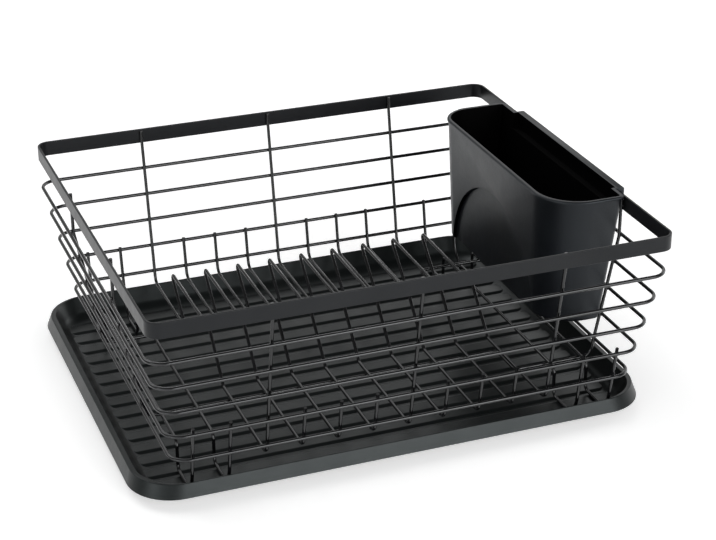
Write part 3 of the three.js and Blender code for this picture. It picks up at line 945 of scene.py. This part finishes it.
# %% The floor
ground_level, own_light = -0.2 * mm, 0.48
bpy.ops.object.select_all(action="DESELECT")
bpy.ops.mesh.primitive_circle_add(vertices=96, radius=30, fill_type="NGON", location=(0, 0, ground_level))
ground = bpy.context.object
ground.name = "ground"
paper = bpy.data.materials.new("white paper")
paper.use_nodes = True
nodes, links = paper.node_tree.nodes, paper.node_tree.links
paper_shader = nodes["Principled BSDF"]
paper_shader.inputs["Base Color"].default_value = (0.9, 0.9, 0.9, 1)
paper_shader.inputs["Roughness"].default_value = 0.9
paper_shader.inputs["Specular IOR Level"].default_value = 0
paper_shader.inputs["Emission Color"].default_value = (1, 1, 1, 1)
rays = nodes.new("ShaderNodeLightPath")
share = nodes.new("ShaderNodeMath")
share.operation = "MULTIPLY"
share.inputs[1].default_value = own_light
glossy = nodes.new("ShaderNodeMath")
glossy.operation = "MAXIMUM"
through = nodes.new("ShaderNodeMath")
through.operation = "MAXIMUM"
links.new(rays.outputs["Is Camera Ray"], glossy.inputs[0])
links.new(rays.outputs["Is Glossy Ray"], glossy.inputs[1])
links.new(glossy.outputs["Value"], through.inputs[0])
links.new(rays.outputs["Is Transmission Ray"], through.inputs[1])
links.new(through.outputs["Value"], share.inputs[0])
links.new(share.outputs["Value"], paper_shader.inputs["Emission Strength"])
ground.data.materials.append(paper)
print("floor at", ground.location.z)

# %% [markdown]
# ## The light
#
# Black things show what they mirror, so the light is mostly a matter of where its bright patches stand.
# Lamps with soft boxes could make them, but each would have to be sized and placed so as not to be seen.
# A dim sky with a few broad, soft patches painted on it does the same. They stand where the photograph's
# highlights point: most are behind and before the drainer, and one is at its right. Two low ones at the
# front and the left light the tray's skirt. Each patch has a place on the sky, a strength, and a
# tightness that makes it smaller.

# %% The surroundings
world = bpy.data.worlds.new("studio")
scene.world = world
world.use_nodes = True
nodes, links = world.node_tree.nodes, world.node_tree.links
sky = nodes["Background"]
sky.inputs["Color"].default_value = (1, 1, 1, 1)
looking = nodes.new("ShaderNodeTexCoord")


def maths(operation, first, second):
    """A maths node's result. Each of its two inputs is a number or another node's output."""
    node = nodes.new("ShaderNodeMath")
    node.operation = operation
    for socket, value in zip(node.inputs, (first, second)):
        if isinstance(value, float):
            socket.default_value = value
        else:
            links.new(value, socket)
    return node.outputs["Value"]


def glow(around, above, strength, tightness):
    """A soft patch of light on the sky, at an angle round from the right and an angle above the floor."""
    around, above = math.radians(around), math.radians(above)
    towards = nodes.new("ShaderNodeVectorMath")
    towards.operation = "DOT_PRODUCT"
    level = math.cos(above)
    towards.inputs[1].default_value = (math.cos(around) * level, math.sin(around) * level, math.sin(above))
    links.new(looking.outputs["Generated"], towards.inputs[0])
    facing = maths("MAXIMUM", towards.outputs["Value"], 0.0)
    return maths("MULTIPLY", maths("POWER", facing, tightness), strength)


patches = {
    "back": (66, 27, 1.35, 20.0),
    "front right": (294, 22, 2.2, 20.0),
    "front left": (240, 26, 1.3, 16.0),
    "right": (14, 14, 3.0, 20.0),
    "high back": (120, 50, 3.4, 18.0),
    "low front": (289, 8, 6.5, 22.0),
    "low left": (205, 8, 3.2, 22.0)}
dim_sky = 0.07
brightness = dim_sky
for patch in patches.values():
    brightness = maths("ADD", brightness, glow(*patch))
links.new(brightness, sky.inputs["Strength"])
print("patches of light:", list(patches))

# %% [markdown]
# One wide, weak lamp overhead fills what the sky leaves dark, and gives the shadow on the floor its soft
# middle.

# %% The overhead lamp
bpy.ops.object.light_add(type="AREA", location=(0, 0, 2))
lamp = bpy.context.object
lamp.name = "overhead light"
lamp.data.shape = "SQUARE"
lamp.data.size = 1.5
lamp.data.energy = 0.6
